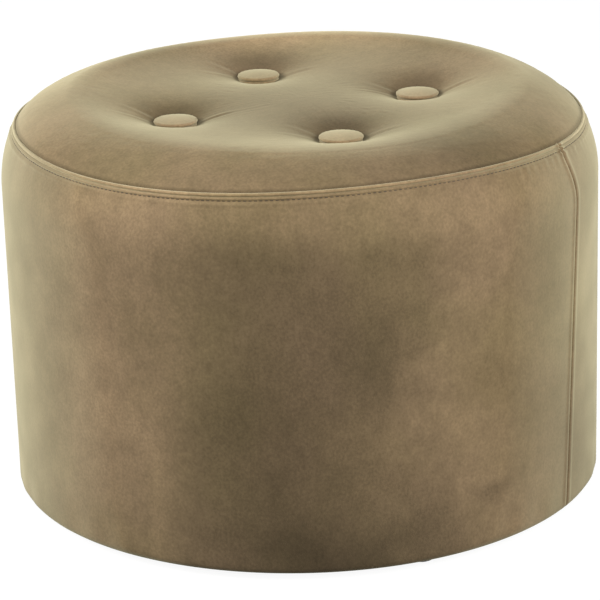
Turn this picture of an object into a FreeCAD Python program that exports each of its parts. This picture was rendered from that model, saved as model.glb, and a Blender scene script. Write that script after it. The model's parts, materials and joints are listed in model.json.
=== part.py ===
import FreeCAD, Part

# A round velvet tuffet: a drum of boards and posts, padded all round, with a domed top
# that four covered buttons pull down. Millimetres, +Z up, origin on the floor under the middle.
# The two side seams are at +X and -X, and the front panel faces -Y.

import math
import operator
import os

import Sketcher
from FreeCAD import Placement, Rotation, Vector

# Driving sizes. Lengths in millimetres, a name that ends in turn or start is in degrees.
sizes = {
    # Outline of the whole body
    "body_diameter": 550,
    "seam_height": 347.2,
    "seam_inset": 14,
    "shoulder_height": 52.5,
    "bottom_round": 5,
    "crown_rise": 39,
    "crown_sag": 6.4,
    "edge_roll_width": 60,
    # Velvet cover
    "cover_thickness": 1.6,
    "hem_width": 45,
    "fold_depth": 11,
    "seam_allowance": 10,
    "seam_turn": 1,
    "lip_width": 7,
    "stitch_drop": 5.5,
    "thread_diameter": 0.8,
    "thread_fit": 0.05,
    # Padding
    "layer_gap": 0.3,
    "side_padding_thickness": 10,
    "wadding_thickness": 6,
    "seat_foam_thickness": 50,
    # Boards and posts
    "wall_board_thickness": 3,
    "board_fit": 0.3,
    "base_board_thickness": 15,
    "seat_board_thickness": 15,
    "seat_board_drop": 76.8,
    "post_width": 45,
    "post_depth": 30,
    "post_count": 6,
    # Buttons and the hollows that they pull
    "button_ring_diameter": 235,
    "button_turn": 48.4,
    "button_count": 4,
    "tuft_depth": 35.7,
    "dimple_radius": 140,
    "dimple_knee_radius": 62,
    "dimple_knee_rise": 17.4,
    "dimple_seat_radius": 21.5,
    "tuft_hole_diameter": 9,
    "button_diameter": 39.8,
    "button_height": 9,
    "button_sag": 3.2,
    "button_rim_round": 2.5,
    "button_lip": 7,
    "button_cover_thickness": 1.2,
    "button_gap": 0.2,
    "shell_thickness": 0.8,
    "back_thickness": 1,
    "eye_radius": 3.5,
    "eye_wire": 1,
    "twine_diameter": 1.2,
    "twine_spread": 5,
    "twine_fit": 0.2,
    "anchor_diameter": 24,
    "anchor_thickness": 3,
    # Underside
    "glide_height": 6,
    "glide_diameter": 25,
    "glide_chamfer": 1,
    "glide_inset": 28.5,
    "glide_turn": 53,
    "glide_count": 4,
    "dust_cover_thickness": 0.8,
    "dust_cover_margin": 14,
    # Fasteners
    "screw_diameter": 4,
    "screw_head_diameter": 8,
    "screw_tip": 4,
    "frame_screw_length": 45,
    "glide_screw_length": 16,
    "glide_screw_recess": 1.5,
    "fastener_fit": 0.15,
    "staple_width": 10,
    "staple_leg": 10,
    "staple_wire": 0.6,
    "staple_breadth": 1.2,
    "wall_staple_margin": 30,
    "cover_staple_inset": 36,
    "cover_staple_count": 24,
    "cover_staple_start": 7.5,
    "dust_staple_margin": 8,
    "dust_staple_count": 20,
    "dust_staple_start": 9,
    # How far a cutting shape reaches past what it cuts
    "cut_past": 5,
}

doc = FreeCAD.newDocument("Tuffet")
sheet = doc.addObject("Spreadsheet::Sheet", "Sizes")
for row, (name, number) in enumerate(sizes.items(), 1):
    sheet.set(f"A{row}", name)
    sheet.set(f"B{row}", str(number))
    sheet.setAlias(f"B{row}", name)
layout = doc.addObject("App::VarSet", "Layout")
doc.recompute()

signs = {"+": operator.add, "-": operator.sub, "*": operator.mul, "/": operator.truediv}


class Measure:
    # A size as a number now, and as the formula that the document keeps.
    def __init__(self, number, text):
        self.number = number
        self.text = text

    def __add__(self, other):
        return joined(self, "+", other)

    def __radd__(self, other):
        return joined(other, "+", self)

    def __sub__(self, other):
        return joined(self, "-", other)

    def __rsub__(self, other):
        return joined(other, "-", self)

    def __mul__(self, other):
        return joined(self, "*", other)

    def __rmul__(self, other):
        return joined(other, "*", self)

    def __truediv__(self, other):
        return joined(self, "/", other)

    def __rtruediv__(self, other):
        return joined(other, "/", self)


def measure(thing):
    return thing if isinstance(thing, Measure) else Measure(float(thing), str(thing))


def joined(left, sign, right):
    left = measure(left)
    right = measure(right)
    return Measure(signs[sign](left.number, right.number), f"({left.text} {sign} {right.text})")


def root(value):
    return Measure(math.sqrt(value.number), f"sqrt({value.text})")


def cosine(angle):
    return Measure(math.cos(math.radians(angle.number)), f"cos({angle.text})")


def sine(angle):
    return Measure(math.sin(math.radians(angle.number)), f"sin({angle.text})")


def size(name):
    return Measure(float(sheet.get(name)), f"Sizes.{name}")


def named(name, value):
    # A worked-out size that many pieces share
    layout.addProperty("App::PropertyFloat", name, "Layout")
    layout.setExpression(name, value.text)
    return Measure(value.number, f"Layout.{name}")


def bind(thing, prop, value):
    thing.setExpression(prop, measure(value).text)


# Levels and radii that pieces share
gap = size("layer_gap")
cloth = size("cover_thickness")
past = size("cut_past")
fabric_low = named("fabric_low", size("glide_height") + size("dust_cover_thickness"))
board_low = named("board_low", fabric_low + cloth)
base_top = named("base_top", board_low + size("base_board_thickness"))
seam_height = size("seam_height")
seat_top = named("seat_top", seam_height - size("seat_board_drop"))
seat_low = named("seat_low", seat_top - size("seat_board_thickness"))
foam_top = named("foam_top", seat_top + size("seat_foam_thickness"))
fold_low = named("fold_low", seam_height - size("fold_depth"))
crown_top = named("crown_top", seam_height + size("crown_rise"))

# The side goes straight up and leans in to the seam along one arc
side_radius = named("side_radius", size("body_diameter") / 2)
shoulder_low = named("shoulder_low", seam_height - size("shoulder_height"))
shoulder_bend = named(
    "shoulder_bend",
    (size("seam_inset") * size("seam_inset") + size("shoulder_height") * size("shoulder_height"))
    / (2 * size("seam_inset")),
)

# Depths of the layers, measured in from the outside of the side
fold_in = named("fold_in", 2 * cloth)
skirt_out = named("skirt_out", fold_in + gap)
skirt_in = named("skirt_in", skirt_out + cloth)
lining_out = named("lining_out", cloth + gap)
lining_in = named("lining_in", lining_out + size("side_padding_thickness"))
core_out = named("core_out", lining_in + gap)
wall_outer = named("wall_outer", side_radius - core_out)
wall_inner = named("wall_inner", wall_outer - size("wall_board_thickness"))
board_radius = named("board_radius", wall_inner - size("board_fit"))


def side_at(depth, height):
    # Radius of the shoulder of a layer at a height
    reach = shoulder_bend - depth
    rise = height - shoulder_low
    return side_radius - shoulder_bend + root(reach * reach - rise * rise)


# The top panel rolls from the seam on one arc and crosses the middle on a wide one
rim_radius = named("rim_radius", side_at(skirt_out, seam_height))
roll_start = named("roll_start", rim_radius - size("edge_roll_width"))
crown_bend = named(
    "crown_bend",
    (roll_start * roll_start + size("crown_sag") * size("crown_sag")) / (2 * size("crown_sag")),
)
lean_across = named("lean_across", roll_start / crown_bend)
lean_up = named("lean_up", (crown_bend - size("crown_sag")) / crown_bend)
roll_drop = named("roll_drop", size("crown_rise") - size("crown_sag"))
roll_bend = named(
    "roll_bend",
    (size("edge_roll_width") * size("edge_roll_width") + roll_drop * roll_drop)
    / (2 * (roll_drop * lean_up - size("edge_roll_width") * lean_across)),
)
roll_middle_across = named("roll_middle_across", roll_start - roll_bend * lean_across)
roll_middle_up = named("roll_middle_up", crown_top - size("crown_sag") - roll_bend * lean_up)


def dome_edge(depth):
    # Radius of a layer of the top where it reaches the seam's height
    reach = roll_bend - depth
    rise = seam_height - roll_middle_up
    return roll_middle_across + root(reach * reach - rise * rise)


def crown_at(radius):
    return crown_top - crown_bend + root(crown_bend * crown_bend - radius * radius)


# Each button's hollow rises from a flat seat on two slopes, the steeper one first,
# and ends just over the crown, so that it leaves no step there
ring_radius = named("ring_radius", size("button_ring_diameter") / 2)
seat_level = named("seat_level", crown_at(ring_radius) - size("tuft_depth"))
dimple_far = named(
    "dimple_far",
    root(ring_radius * ring_radius + size("dimple_radius") * size("dimple_radius")),
)
dimple_top = named("dimple_top", crown_at(dimple_far) + gap)
dimple_steep = named(
    "dimple_steep",
    size("dimple_knee_rise") / (size("dimple_knee_radius") - size("dimple_seat_radius")),
)
dimple_easy = named(
    "dimple_easy",
    (dimple_top - seat_level - size("dimple_knee_rise"))
    / (size("dimple_radius") - size("dimple_knee_radius")),
)
# How far each slope drops for a layer that lies one millimetre deeper
steep_drop = named("steep_drop", root(dimple_steep * dimple_steep + 1))
easy_drop = named("easy_drop", root(dimple_easy * dimple_easy + 1))


def arc_between(start, end, radius, side):
    # side is 1 where the middle of the arc lies to the left of the way from start to end
    way = end - start
    left = Vector(-way.y, way.x, 0).normalize()
    middle = (start + end) * 0.5 + left * (side * math.sqrt(radius**2 - (way.Length / 2) ** 2))
    first, last = (start, end) if side > 0 else (end, start)
    begin = math.atan2(first.y - middle.y, first.x - middle.x)
    finish = math.atan2(last.y - middle.y, last.x - middle.x)
    if finish < begin:
        finish += 2 * math.pi
    return Part.ArcOfCircle(Part.Circle(middle, Vector(0, 0, 1), radius), begin, finish)


def pin_point(sketch, edge, end, across, up):
    # Holds one corner at its two sizes
    for kind, axis, value in (("DistanceX", -2, across), ("DistanceY", -1, up)):
        value = measure(value)
        if value.number == 0:
            sketch.addConstraint(Sketcher.Constraint("PointOnObject", edge, end, axis))
        else:
            held = Sketcher.Constraint(kind, -1, 1, edge, end, value.number)
            bind(sketch, f"Constraints[{sketch.addConstraint(held)}]", value)


def draw_outline(sketch, corners):
    # A corner is (across, up), with (radius, side) after it where an arc leaves it
    spots = [Vector(measure(c[0]).number, measure(c[1]).number, 0) for c in corners]
    ends = []
    for index, corner in enumerate(corners):
        start = spots[index]
        end = spots[(index + 1) % len(spots)]
        if len(corner) == 4:
            radius, side = measure(corner[2]), corner[3]
            edge = sketch.addGeometry(arc_between(start, end, radius.number, side))
            held = sketch.addConstraint(Sketcher.Constraint("Radius", edge, radius.number))
            bind(sketch, f"Constraints[{held}]", radius)
            ends.append((1, 2) if side > 0 else (2, 1))
        else:
            sketch.addGeometry(Part.LineSegment(start, end))
            ends.append((1, 2))
    for index, corner in enumerate(corners):
        after = (index + 1) % len(corners)
        joint = Sketcher.Constraint("Coincident", index, ends[index][1], after, ends[after][0])
        sketch.addConstraint(joint)
        pin_point(sketch, index, ends[index][0], corner[0], corner[1])


def origin_part(body, role):
    return next(part for part in body.Origin.OriginFeatures if part.Role == role)


def sketch_on(body, role, corners, out=0, turn=0, along=0):
    # out and turn carry the sketch round the Z axis, along lifts it off its plane
    out = measure(out)
    turn = measure(turn)
    sketch = body.newObject("Sketcher::SketchObject", f"{body.Name}_outline")
    sketch.AttachmentSupport = [(origin_part(body, role), "")]
    sketch.MapMode = "FlatFace"
    sketch.AttachmentOffset = Placement(Vector(), Rotation(Vector(0, 1, 0), turn.number))
    bind(sketch, "AttachmentOffset.Base.x", out * cosine(turn))
    bind(sketch, "AttachmentOffset.Base.z", along - out * sine(turn))
    draw_outline(sketch, corners)
    return sketch


def new_body(label):
    body = doc.addObject("PartDesign::Body", label)
    body.AllowCompound = True
    return body


def turn_feature(body, kind, corners, out=0, turn=0, angle=360):
    # Turns an outline about the vertical through its own origin
    sketch = sketch_on(body, "XZ_Plane", corners, out, turn)
    feature = body.newObject(f"PartDesign::{kind}", f"{body.Name}_{kind.lower()}")
    feature.Profile = sketch
    feature.ReferenceAxis = (sketch, ["V_Axis"])
    feature.Angle = angle
    return feature


def repeat_round(body, features, count):
    pattern = body.newObject("PartDesign::PolarPattern", f"{body.Name}_round")
    pattern.Originals = features
    pattern.Axis = (origin_part(body, "Z_Axis"), [""])
    pattern.Angle = 360
    bind(pattern, "Occurrences", count)
    body.Tip = pattern


def turned(label, corners, angle=360):
    body = new_body(label)
    turn_feature(body, "Revolution", corners, angle=angle)
    return body


def ring_corners(inner, outer, low, high):
    return [(inner, low), (outer, low), (outer, high), (inner, high)]


def stand(thing, angle=0, out=0, up=0, tip=None):
    # Puts a piece at an angle and a radius, turned to face outwards
    out = measure(out)
    angle = measure(angle)
    facing = Rotation(Vector(0, 0, 1), angle.number)
    thing.Placement = Placement(Vector(), facing * tip if tip else facing)
    bind(thing, "Placement.Base.x", out * cosine(angle))
    bind(thing, "Placement.Base.y", out * sine(angle))
    bind(thing, "Placement.Base.z", up)
    return thing


def primitive(kind, label, **measures):
    thing = doc.addObject(f"Part::{kind}", label)
    for prop, value in measures.items():
        bind(thing, prop, value)
    return thing


def less(label, base, tools):
    # The base with every tool cut out of it, one after the other
    for index, tool in enumerate(tools, 1):
        cut = doc.addObject("Part::Cut", label if index == len(tools) else f"{label}_cut_{index}")
        cut.Base = base
        cut.Tool = tool
        base = cut
    return base


def fused(label, pieces):
    union = doc.addObject("Part::MultiFuse", label)
    union.Shapes = pieces
    return union


# Outlines of the padded body


def side_run(depth, low, high):
    # Corners up the side of a layer, straight below the shoulder and an arc above it
    arc = shoulder_bend - depth
    if high.number <= shoulder_low.number:
        return [(side_radius - depth, low), (side_radius - depth, high)]
    if low.number < shoulder_low.number:
        foot = [(side_radius - depth, low), (side_radius - depth, shoulder_low, arc, 1)]
    else:
        foot = [(side_at(depth, low), low, arc, 1)]
    return foot + [(side_at(depth, high), high)]


def dome_corners(depth, side_depth, floor):
    roll_foot = (dome_edge(depth), seam_height, roll_bend - depth, 1)
    roll_head = (
        roll_start - depth * lean_across,
        crown_top - size("crown_sag") - depth * lean_up,
        crown_bend - depth,
        1,
    )
    side = side_run(side_depth, floor, seam_height - size("seam_turn"))
    return [(0, floor)] + side + [roll_foot, roll_head, (0, crown_top - depth)]


def dimple_corners(depth):
    seat_edge = size("dimple_seat_radius") + (steep_drop - 1) / dimple_steep * depth
    knee_shift = (steep_drop - easy_drop) / (dimple_steep - dimple_easy) * depth
    knee = size("dimple_knee_radius") + knee_shift
    knee_level = seat_level + size("dimple_knee_rise") + dimple_steep * knee_shift
    ceiling = crown_top + past
    return [
        (0, seat_level - depth),
        (seat_edge, seat_level - depth),
        (knee, knee_level - steep_drop * depth),
        (size("dimple_radius"), dimple_top - easy_drop * depth),
        (size("dimple_radius"), ceiling),
        (0, ceiling),
    ]


def cut_at_buttons(body, corners):
    groove = turn_feature(body, "Groove", corners, ring_radius, size("button_turn"))
    repeat_round(body, [groove], size("button_count"))


def cut_tuft_holes(body, low, high):
    hole = ring_corners(measure(0), size("tuft_hole_diameter") / 2, low - past, high + past)
    cut_at_buttons(body, hole)


def dome_form(label, depth, side_depth, floor, pierced=True):
    # One layer of the top as a solid, with the four hollows in it
    body = turned(label, dome_corners(depth, side_depth, floor))
    cut_at_buttons(body, dimple_corners(depth))
    if pierced:
        cut_tuft_holes(body, floor, crown_top)
    return body


# Fasteners, each drawn once at its own size and once with room round it


def screw_corners(face, length, way, grow):
    head = size("screw_head_diameter") / 2 + grow
    shank = size("screw_diameter") / 2 + grow
    neck = face + way * (head - shank)
    point = face + way * (length + grow)
    corners = [
        (0, face),
        (head, face),
        (shank, neck),
        (shank, point - way * size("screw_tip")),
        (0, point),
    ]
    if grow.number > 0:
        mouth = face - way * past
        corners[:1] = [(0, mouth), (head, mouth)]
    return corners if way > 0 else corners[::-1]


def screws(label, face, length, way, out, turn, count):
    made = []
    for name, grow in ((label, measure(0)), (f"{label}_room", size("fastener_fit"))):
        body = new_body(name)
        corners = screw_corners(face, length, way, grow)
        shaft = turn_feature(body, "Revolution", corners, out, turn)
        repeat_round(body, [shaft], count)
        made.append(body)
    return made


def staple_corners(back, leg, way, grow):
    # A bent wire seen from its face, its back at one level and its legs along way
    half = size("staple_width") / 2 + grow
    wire = size("staple_wire") + 2 * grow
    start = back - way * grow
    tip = back + way * (leg + grow)
    crotch = start + way * wire
    return [
        (0 - half, start),
        (half, start),
        (half, tip),
        (half - wire, tip),
        (half - wire, crotch),
        (wire - half, crotch),
        (wire - half, tip),
        (0 - half, tip),
    ]


def pad_both_ways(body, sketch, length):
    pad = body.newObject("PartDesign::Pad", f"{body.Name}_pad")
    pad.Profile = sketch
    pad.SideType = "Symmetric"
    bind(pad, "Length", length)
    return pad


def low_staples(label, back, out, start, count):
    # Staples driven up into the base board, their backs along a circle
    made = []
    for name, grow in ((label, measure(0)), (f"{label}_room", size("fastener_fit"))):
        body = new_body(name)
        corners = staple_corners(back, size("staple_leg"), 1, grow)
        sketch = body.newObject("Sketcher::SketchObject", f"{name}_outline")
        sketch.AttachmentSupport = [(origin_part(body, "YZ_Plane"), "")]
        sketch.MapMode = "FlatFace"
        sketch.AttachmentOffset = Placement(Vector(), Rotation(Vector(0, 1, 0), start.number))
        bind(sketch, "AttachmentOffset.Base.x", out * sine(start))
        bind(sketch, "AttachmentOffset.Base.z", out * cosine(start))
        draw_outline(sketch, corners)
        pad = pad_both_ways(body, sketch, size("staple_breadth") + 2 * grow)
        repeat_round(body, [pad], count)
        made.append(body)
    return made


def wall_staples(label):
    # Three to a post, driven inwards through the wall boards
    back = wall_outer - size("fastener_fit")
    low = base_top + size("wall_staple_margin")
    high = seat_low - size("wall_staple_margin")
    made = []
    for name, grow in ((label, measure(0)), (f"{label}_room", size("fastener_fit"))):
        body = new_body(name)
        pads = []
        for level in (low, (low + high) / 2, high):
            corners = staple_corners(back, size("staple_leg"), -1, grow)
            lying = [(up, across) for across, up in corners]
            sketch = body.newObject("Sketcher::SketchObject", f"{name}_outline")
            sketch.AttachmentSupport = [(origin_part(body, "XY_Plane"), "")]
            sketch.MapMode = "FlatFace"
            bind(sketch, "AttachmentOffset.Base.z", level)
            draw_outline(sketch, lying)
            pads.append(pad_both_ways(body, sketch, size("staple_breadth") + 2 * grow))
        repeat_round(body, pads, size("post_count"))
        made.append(body)
    return made


def make_frame():
    # Two round boards held apart by posts, with thin boards bent round the outside
    post_face = named("post_face", root(board_radius * board_radius - half_square("post_width")))
    post_middle = named("post_middle", post_face - size("post_depth") / 2)
    count = size("post_count")
    length = size("frame_screw_length")
    base_screw, base_room = screws("base_screws", board_low, length, 1, post_middle, measure(0), count)
    seat_screw, seat_room = screws("seat_screws", seat_top, length, -1, post_middle, measure(0), count)
    staple, staple_room = wall_staples("wall_staples")
    seat = turned("seat_board_blank", ring_corners(0, board_radius, seat_low, seat_top))
    cut_tuft_holes(seat, seat_low, seat_top)
    pieces = [base_screw, seat_screw, staple, less("seat_board", seat, [seat_room])]
    for index in range(int(count.number)):
        blank = primitive(
            "Box",
            f"post_blank_{index + 1}",
            Length=size("post_depth"),
            Width=size("post_width"),
            Height=seat_low - base_top,
        )
        turn = 360 * index / count
        edge = post_face - size("post_depth")
        facing = Rotation(Vector(0, 0, 1), turn.number)
        blank.Placement = Placement(Vector(), facing)
        half = size("post_width") / 2
        bind(blank, "Placement.Base.x", edge * cosine(turn) + half * sine(turn))
        bind(blank, "Placement.Base.y", edge * sine(turn) - half * cosine(turn))
        bind(blank, "Placement.Base.z", base_top)
        rooms = [base_room, seat_room, staple_room]
        pieces.append(less(f"frame_post_{index + 1}", blank, rooms))
    wall = ring_corners(wall_inner, wall_outer, board_low, seat_top)
    for side, turn in (("back", 0), ("front", 180)):
        blank = stand(turned(f"wall_{side}_blank", wall, 180), turn)
        pieces.append(less(f"wall_board_{side}", blank, [staple_room]))
    return pieces, base_room


def half_square(name):
    return size(name) * size(name) / 4


def make_underside(base_screw_room):
    # The base board, the hem's and the dust cover's staples, the dust cover and the glides
    staple_ring = side_radius - size("cover_staple_inset")
    start = size("cover_staple_start")
    hem_staple, hem_room = low_staples(
        "cover_staples", fabric_low, staple_ring, start, size("cover_staple_count")
    )
    dust_edge = named("dust_edge", side_radius - size("dust_cover_margin"))
    dust_ring = dust_edge - size("dust_staple_margin")
    start = size("dust_staple_start")
    dust_staple, dust_room = low_staples(
        "dust_cover_staples", size("glide_height"), dust_ring, start, size("dust_staple_count")
    )
    glide_ring = named("glide_ring", side_radius - size("glide_inset"))
    glide_screw, glide_room = screws(
        "glide_screws",
        size("glide_screw_recess"),
        size("glide_screw_length"),
        1,
        glide_ring,
        size("glide_turn"),
        size("glide_count"),
    )
    base = turned("base_board_blank", ring_corners(0, board_radius, board_low, base_top))
    dust = turned("dust_cover_blank", ring_corners(0, dust_edge, size("glide_height"), fabric_low))
    pieces = [
        less("base_board", base, [base_screw_room, hem_room, dust_room, glide_room]),
        less("dust_cover", dust, [dust_room, glide_room]),
        hem_staple,
        dust_staple,
        glide_screw,
    ]
    foot = size("glide_diameter") / 2
    chamfer = size("glide_chamfer")
    corners = [(0, 0), (foot - chamfer, 0), (foot, chamfer)]
    corners += [(foot, size("glide_height")), (0, size("glide_height"))]
    for index in range(int(size("glide_count").number)):
        turn = size("glide_turn") + 360 * index / size("glide_count")
        blank = stand(turned(f"glide_blank_{index + 1}", corners), turn, glide_ring)
        pieces.append(less(f"glide_{index + 1}", blank, [glide_room]))
    return pieces, [hem_room, dust_room, glide_room]


def lip_corners(grow):
    # The turned-in edge of a side panel, from the bottom round up to the fold
    low = fabric_low + size("bottom_round")
    inner = cloth + size("lip_width") + grow
    outer_run = side_run(cloth / 2, low, fold_low)
    return outer_run + down_run(inner, fold_low, low)


def down_run(depth, high, low):
    # The same run as side_run, from the top down
    corners = [
        (side_at(depth, high), high, shoulder_bend - depth, -1),
        (side_radius - depth, shoulder_low),
        (side_radius - depth, low),
    ]
    return corners


def add_lips(body, kind, grow, length):
    # Lips at both ends of a panel, or the slots that take them
    sketch = sketch_on(body, "XZ_Plane", lip_corners(grow))
    feature = body.newObject(f"PartDesign::{kind}", f"{body.Name}_lip")
    feature.Profile = sketch
    if kind == "Pocket":
        feature.SideType = "Symmetric"
    feature.Reversed = kind == "Pad"
    bind(feature, "Length", length)
    mirror = body.newObject("PartDesign::Mirrored", f"{body.Name}_lips")
    mirror.Originals = [feature]
    mirror.MirrorPlane = (origin_part(body, "YZ_Plane"), [""])
    body.Tip = mirror


def side_cover_corners():
    hem = side_radius - size("hem_width")
    bottom = size("bottom_round")
    return (
        [(hem, fabric_low), (side_radius - bottom, fabric_low, bottom, 1)]
        + side_run(measure(0), fabric_low + bottom, seam_height)
        + [
            (side_at(fold_in, seam_height), seam_height, shoulder_bend - fold_in, -1),
            (side_at(fold_in, fold_low), fold_low),
            (side_at(cloth, fold_low), fold_low, shoulder_bend - cloth, -1),
            (side_radius - cloth, shoulder_low),
            (side_radius - cloth, fabric_low + bottom, bottom - cloth, -1),
            (side_radius - bottom, board_low),
            (hem, board_low),
        ]
    )


def make_covers(hem_rooms):
    # Two side panels sewn at the ends, the top panel and the row of stitches under the seam
    pieces = []
    for side, turn in (("back", 0), ("front", 180)):
        blank = turned(f"side_cover_{side}_blank", side_cover_corners(), 180)
        add_lips(blank, "Pad", measure(0), cloth)
        pieces.append(less(f"side_cover_{side}", stand(blank, turn), hem_rooms))
    skirt_low = seam_height - size("seam_allowance")
    outside = dome_form("top_cover_outside", measure(0), skirt_out, skirt_low)
    inside = dome_form("top_cover_inside", cloth, skirt_in, skirt_low - past, pierced=False)
    pieces.append(less("top_cover", outside, [inside]))
    thread = size("thread_diameter") / 2
    level = seam_height - size("stitch_drop")
    stitches = primitive(
        "Torus",
        "top_stitching",
        Radius1=side_at(0 - thread - size("thread_fit"), level),
        Radius2=thread,
    )
    pieces.append(stand(stitches, up=level))
    return pieces


def make_padding():
    # Firm foam on the seat board, a domed soft foam, wadding over it and padding round the side
    seat_foam = turned(
        "seat_foam",
        [(0, seat_top)] + side_run(core_out, seat_top, foam_top) + [(0, foam_top)],
    )
    cut_tuft_holes(seat_foam, seat_top, foam_top)
    wadding_out = cloth + gap
    wadding_in = wadding_out + size("wadding_thickness")
    crown_foam = dome_form("crown_foam", wadding_in + gap, core_out, foam_top)
    outside = dome_form("wadding_outside", wadding_out, skirt_in + gap, fold_low)
    inside = dome_form("wadding_inside", wadding_in, lining_in, fold_low - past, pierced=False)
    low = fabric_low + size("bottom_round")
    top = fold_low - gap
    lining = turned("side_padding", side_run(lining_out, low, top) + down_run(lining_in, top, low))
    add_lips(lining, "Pocket", gap, 2 * (cloth + gap))
    return [seat_foam, crown_foam, less("top_wadding", outside, [inside]), lining]


# A covered button, drawn with its underside at height zero


def button_dome(depth):
    # Height of the button's dome at the edge of a layer
    radius = size("button_diameter") / 2
    sag = size("button_sag")
    bend = (radius * radius + sag * sag) / (2 * sag) - depth
    edge = radius - depth
    level = size("button_height") - bend - depth + root(bend * bend - edge * edge)
    return edge, level, bend


def cap_corners(outer, inner, low):
    # A domed cap between two depths, open below
    outer_edge, outer_level, outer_bend = button_dome(outer)
    inner_edge, inner_level, inner_bend = button_dome(inner)
    top = size("button_height")
    dome = [(outer_edge, low), (outer_edge, outer_level, outer_bend, 1), (0, top - outer)]
    return dome + [(0, top - inner, inner_bend, -1), (inner_edge, inner_level), (inner_edge, low)]


def button_cover_corners():
    cover = size("button_cover_thickness")
    turn = size("button_rim_round")
    radius = size("button_diameter") / 2
    mouth = radius - size("button_lip")
    cap = cap_corners(measure(0), cover, turn)
    inner_foot = cap[-1] + (turn - cover, -1)
    rim = [(mouth, 0), (radius - turn, 0, turn, 1)]
    return rim + cap[:-1] + [inner_foot, (radius - turn, cover), (mouth, cover)]


def make_button(number, turn):
    cover = size("button_cover_thickness")
    rim = size("button_rim_round")
    shell_out = cover + size("button_gap")
    shell_in = shell_out + size("shell_thickness")
    back_radius = size("button_diameter") / 2 - shell_in - size("button_gap")
    back = ring_corners(0, back_radius, rim, rim + size("back_thickness"))
    pieces = [
        turned(f"button_cover_{number}", button_cover_corners()),
        turned(f"button_shell_{number}", cap_corners(shell_out, shell_in, rim)),
        turned(f"button_back_{number}", back),
    ]
    for piece in pieces:
        stand(piece, turn, ring_radius, seat_level)
    eye = primitive(
        "Torus",
        f"button_eye_{number}",
        Radius1=size("eye_radius"),
        Radius2=size("eye_wire") / 2,
        Angle3=180,
    )
    across = Rotation(Vector(0, 0, 1), 90)
    downwards = Rotation(Vector(1, 0, 0), -90)
    stand(eye, turn, ring_radius, seat_level + rim, across * downwards)
    return pieces + [eye]


def make_twine(number, turn):
    # A loop of twine from the button's eye down to a two-hole anchor under the seat board
    thick = size("twine_diameter") / 2
    half = size("twine_spread") / 2
    over_eye = size("button_rim_round") - size("eye_radius") + size("eye_wire") / 2
    top = seat_level + over_eye + size("twine_fit") + thick - half
    low = seat_low - size("anchor_thickness")
    runs = []
    for side in (-1, 1):
        strand = primitive("Cylinder", f"strand_{number}", Radius=thick, Height=top - low)
        runs.append(stand(strand, turn, ring_radius + side * half, low))
    for level, tilt in ((top, 90), (low, -90)):
        bend = primitive("Torus", f"bend_{number}", Radius1=half, Radius2=thick, Angle3=180)
        runs.append(stand(bend, turn, ring_radius, level, Rotation(Vector(1, 0, 0), tilt)))
    disc = primitive(
        "Cylinder",
        f"anchor_blank_{number}",
        Radius=size("anchor_diameter") / 2,
        Height=size("anchor_thickness"),
    )
    stand(disc, turn, ring_radius, low)
    holes = []
    for side in (-1, 1):
        hole = primitive(
            "Cylinder",
            f"anchor_hole_{number}",
            Radius=thick + size("twine_fit"),
            Height=size("anchor_thickness") + 2 * past,
        )
        holes.append(stand(hole, turn, ring_radius + side * half, low - past))
    return [fused(f"button_twine_{number}", runs), less(f"tuft_anchor_{number}", disc, holes)]


def check_state(pieces):
    doc.recompute()
    for thing in doc.Objects:
        if "Invalid" in thing.State or "Error" in thing.State:
            raise RuntimeError(f"{thing.Label} failed: {thing.State}")
    for piece in pieces:
        if piece.Shape.isNull() or not piece.Shape.isValid():
            raise RuntimeError(f"{piece.Label} has no valid shape")


def write_pieces(pieces):
    os.makedirs("parts", exist_ok=True)
    for piece in pieces:
        piece.Shape.exportStep(f"parts/{piece.Label}.step")
        solids = len(piece.Shape.Solids)
        print(f"{piece.Label}: {solids} solid(s), {piece.Shape.Volume / 1000:.1f} cm3")


frame_pieces, base_screw_room = make_frame()
low_pieces, hem_rooms = make_underside(base_screw_room)
pieces = frame_pieces + low_pieces + make_covers(hem_rooms) + make_padding()
for index in range(int(size("button_count").number)):
    button_angle = size("button_turn") + 360 * index / size("button_count")
    pieces += make_button(index + 1, button_angle)
    pieces += make_twine(index + 1, button_angle)
check_state(pieces)
write_pieces(pieces)
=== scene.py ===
# Round velvet tuffet: the looks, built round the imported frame.
# Metres, +Z up, side seams at +X and -X, front panel towards -Y.
import json
import math

import bpy
import numpy as np
from mathutils import Matrix, Vector, noise

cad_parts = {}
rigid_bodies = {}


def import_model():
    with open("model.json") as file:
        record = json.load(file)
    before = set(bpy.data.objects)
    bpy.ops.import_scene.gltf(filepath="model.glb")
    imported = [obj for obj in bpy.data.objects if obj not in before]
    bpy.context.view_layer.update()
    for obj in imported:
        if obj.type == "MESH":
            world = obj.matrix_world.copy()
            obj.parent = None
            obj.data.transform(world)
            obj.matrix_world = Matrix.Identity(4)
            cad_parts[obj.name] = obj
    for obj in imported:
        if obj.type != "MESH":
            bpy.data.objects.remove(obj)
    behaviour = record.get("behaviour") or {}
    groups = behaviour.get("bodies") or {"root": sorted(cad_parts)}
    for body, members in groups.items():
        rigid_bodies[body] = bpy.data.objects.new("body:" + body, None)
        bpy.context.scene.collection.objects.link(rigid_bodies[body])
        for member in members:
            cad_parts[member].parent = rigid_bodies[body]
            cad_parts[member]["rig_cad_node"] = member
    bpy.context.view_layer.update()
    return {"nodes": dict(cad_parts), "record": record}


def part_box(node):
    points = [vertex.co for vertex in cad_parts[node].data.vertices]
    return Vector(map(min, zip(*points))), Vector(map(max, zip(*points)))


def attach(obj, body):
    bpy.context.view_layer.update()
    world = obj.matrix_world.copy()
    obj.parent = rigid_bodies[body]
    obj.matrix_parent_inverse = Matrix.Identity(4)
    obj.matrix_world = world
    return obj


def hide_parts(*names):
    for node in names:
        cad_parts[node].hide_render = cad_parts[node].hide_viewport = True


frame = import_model()
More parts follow.
